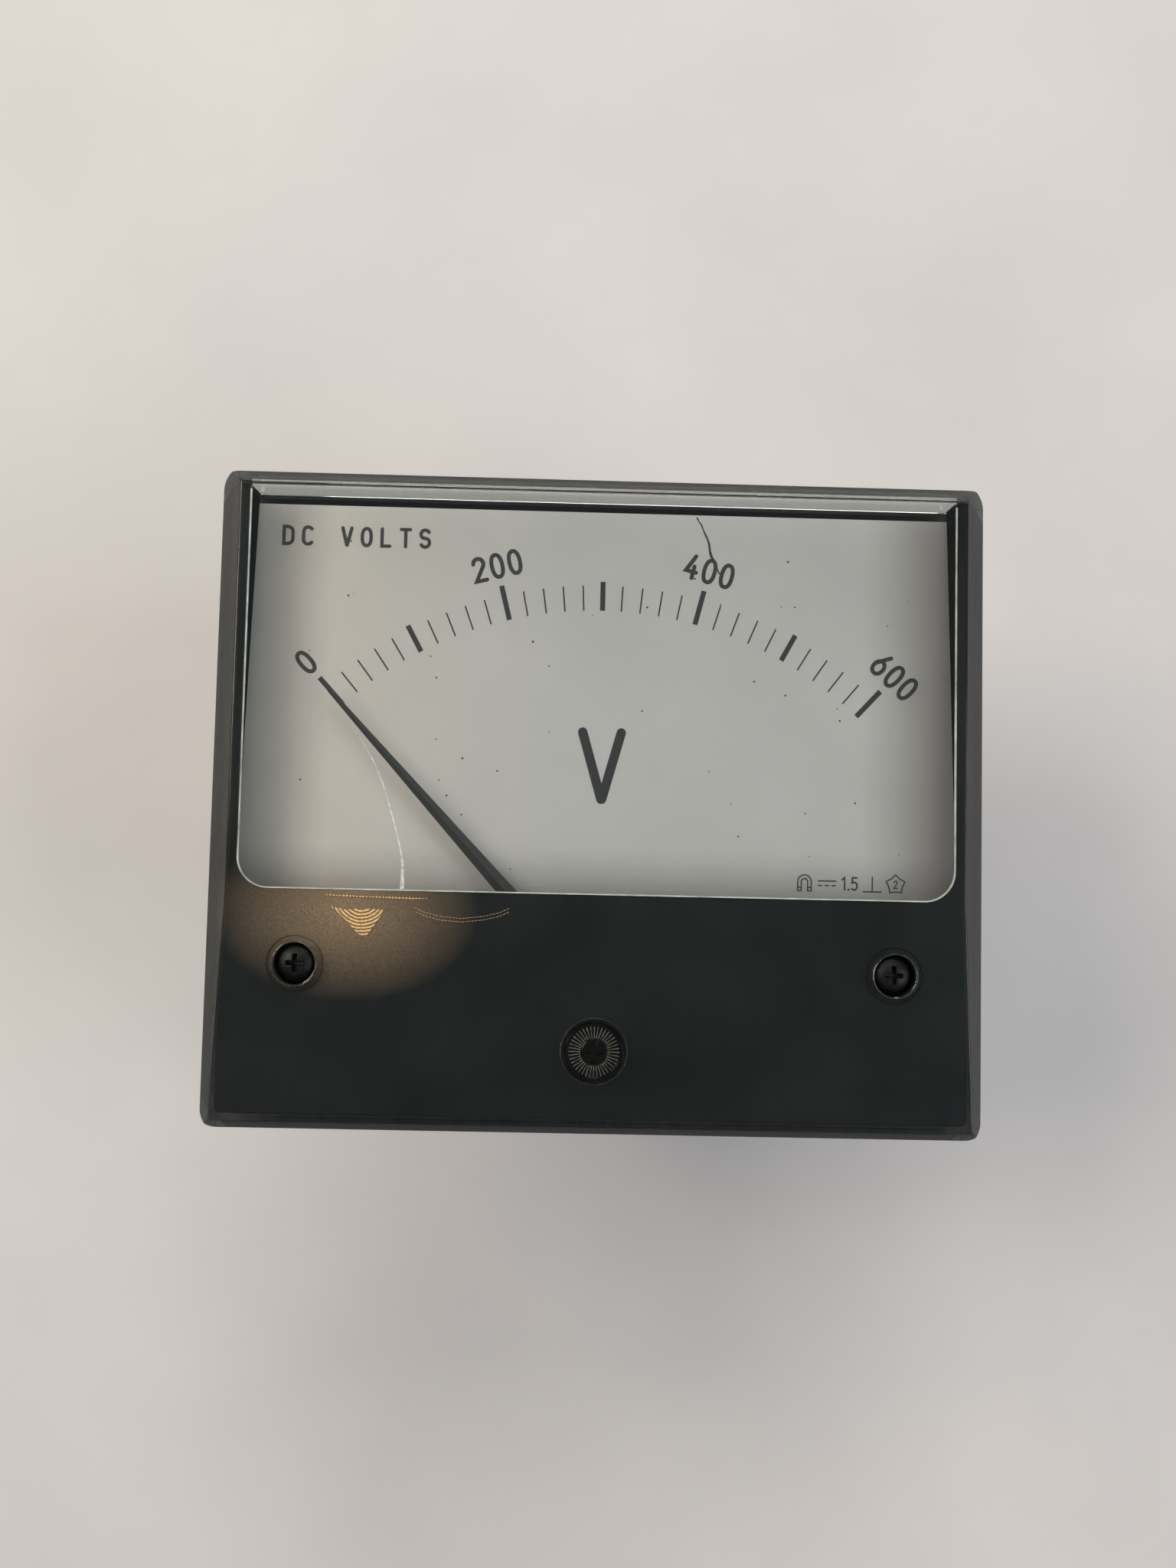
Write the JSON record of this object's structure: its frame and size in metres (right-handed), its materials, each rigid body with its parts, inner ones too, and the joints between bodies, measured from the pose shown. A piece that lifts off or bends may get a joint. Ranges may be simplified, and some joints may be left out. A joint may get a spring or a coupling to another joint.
{
  "type": "analog panel voltmeter",
  "caption": "Rectangular moving-coil panel voltmeter with a clear cover, dark lower band, zero adjuster, round rear barrel and threaded terminals.",
  "frame": {"origin": "centre of the outline in plan, at the level of the rear ends of the terminals, on which it rests face up", "axes": "+X right across the dial, +Y to 12 o'clock on the dial, +Z out of the dial"},
  "size_m": [0.1, 0.0844, 0.074],
  "materials": {
    "clear_acrylic": "clear moulded plastic with light wear",
    "dark_mask": "dark grey-green behind the clear cover",
    "black_moulding": "satin black moulding",
    "foam_rubber": "closed-cell foam",
    "black_steel": "black oxide",
    "plated_steel": "bright zinc",
    "soft_iron": "plain turned iron",
    "magnet_alloy": "ground magnet alloy",
    "cast_alloy": "die cast",
    "brass": "turned",
    "bronze_strip": "rolled strip",
    "enamelled_copper": "varnished winding",
    "dial_paint": "satin off-white paint on aluminium",
    "pointer_paint": "matt black paint on aluminium",
    "paper_laminate": "phenolic board",
    "resistor_coat": "baked coating",
    "red_sleeve": "insulated wire",
    "black_sleeve": "insulated wire"
  },
  "bodies": {
    "housing": {"front_cover": "clear_acrylic", "cover_mask": "dark_mask", "adjuster_clip": "bronze_strip", "rear_case": "black_moulding", "panel_gasket": "foam_rubber", "cover_screw_left": "black_steel", "cover_screw_right": "black_steel", "dial_screw_left": "plated_steel", "dial_screw_right": "plated_steel", "movement_screw_left": "plated_steel", "movement_screw_right": "plated_steel", "bridge_screw_left": "brass", "bridge_screw_right": "brass", "panel_stud_lower_left": "plated_steel", "panel_stud_lower_right": "plated_steel", "panel_stud_upper_left": "plated_steel", "panel_stud_upper_right": "plated_steel", "panel_nut_lower_left": "plated_steel", "panel_nut_lower_right": "plated_steel", "panel_nut_upper_left": "plated_steel", "panel_nut_upper_right": "plated_steel", "terminal_stud_pos": "brass", "terminal_stud_neg": "brass", "terminal_clamp_nut_pos": "brass", "terminal_clamp_nut_neg": "brass", "terminal_washer_pos": "brass", "terminal_washer_neg": "brass", "terminal_nut_pos": "brass", "terminal_nut_neg": "brass", "resistor_board": "paper_laminate", "multiplier_resistor_1": "resistor_coat", "multiplier_resistor_2": "resistor_coat", "multiplier_resistor_3": "resistor_coat", "lead_wire_pos": "red_sleeve", "lead_wire_neg": "black_sleeve", "dial_plate": "dial_paint", "pointer_stop_zero": "plated_steel", "pointer_stop_full": "plated_steel", "movement_frame": "cast_alloy", "yoke_ring": "soft_iron", "magnet_core": "magnet_alloy", "core_strap": "brass", "front_bridge": "cast_alloy", "rear_bridge": "cast_alloy", "front_jewel_screw": "brass", "rear_jewel_screw": "brass", "rear_spring_lever": "bronze_strip"},
    "zero_adjuster": {"zero_adjuster": "clear_acrylic"},
    "zero_lever": {"zero_lever": "bronze_strip"},
    "moving_system": {"coil_former": "cast_alloy", "coil_winding": "enamelled_copper", "front_pivot": "plated_steel", "rear_pivot": "plated_steel", "pointer": "pointer_paint", "balance_weight_left": "brass", "balance_weight_right": "brass", "balance_weight_tail": "brass", "hairspring_front": "bronze_strip", "hairspring_rear": "bronze_strip"}
  },
  "joints": [
    {"name": "zero_adjust", "type": "hinge", "parent": "housing", "child": "zero_adjuster", "pos_m": [0, -0.0316, 0.072], "axis": [0, 0, 1], "range_deg": [-40, 40]},
    {"name": "zero_lever_turn", "type": "hinge", "parent": "housing", "child": "zero_lever", "pos_m": [0, -0.0244, 0.0675], "axis": [0, 0, 1], "range_deg": [-4, 4]},
    {"name": "pointer_swing", "type": "hinge", "parent": "zero_lever", "child": "moving_system", "pos_m": [0, -0.0244, 0.0609], "axis": [0, 0, -1], "range_deg": [-2, 87.5], "stiffness_Nm_per_rad": 0.00002}
  ],
  "couplings": [
    {"joint": "zero_lever_turn", "follows": "zero_adjust", "ratio": 0.095}
  ]
}
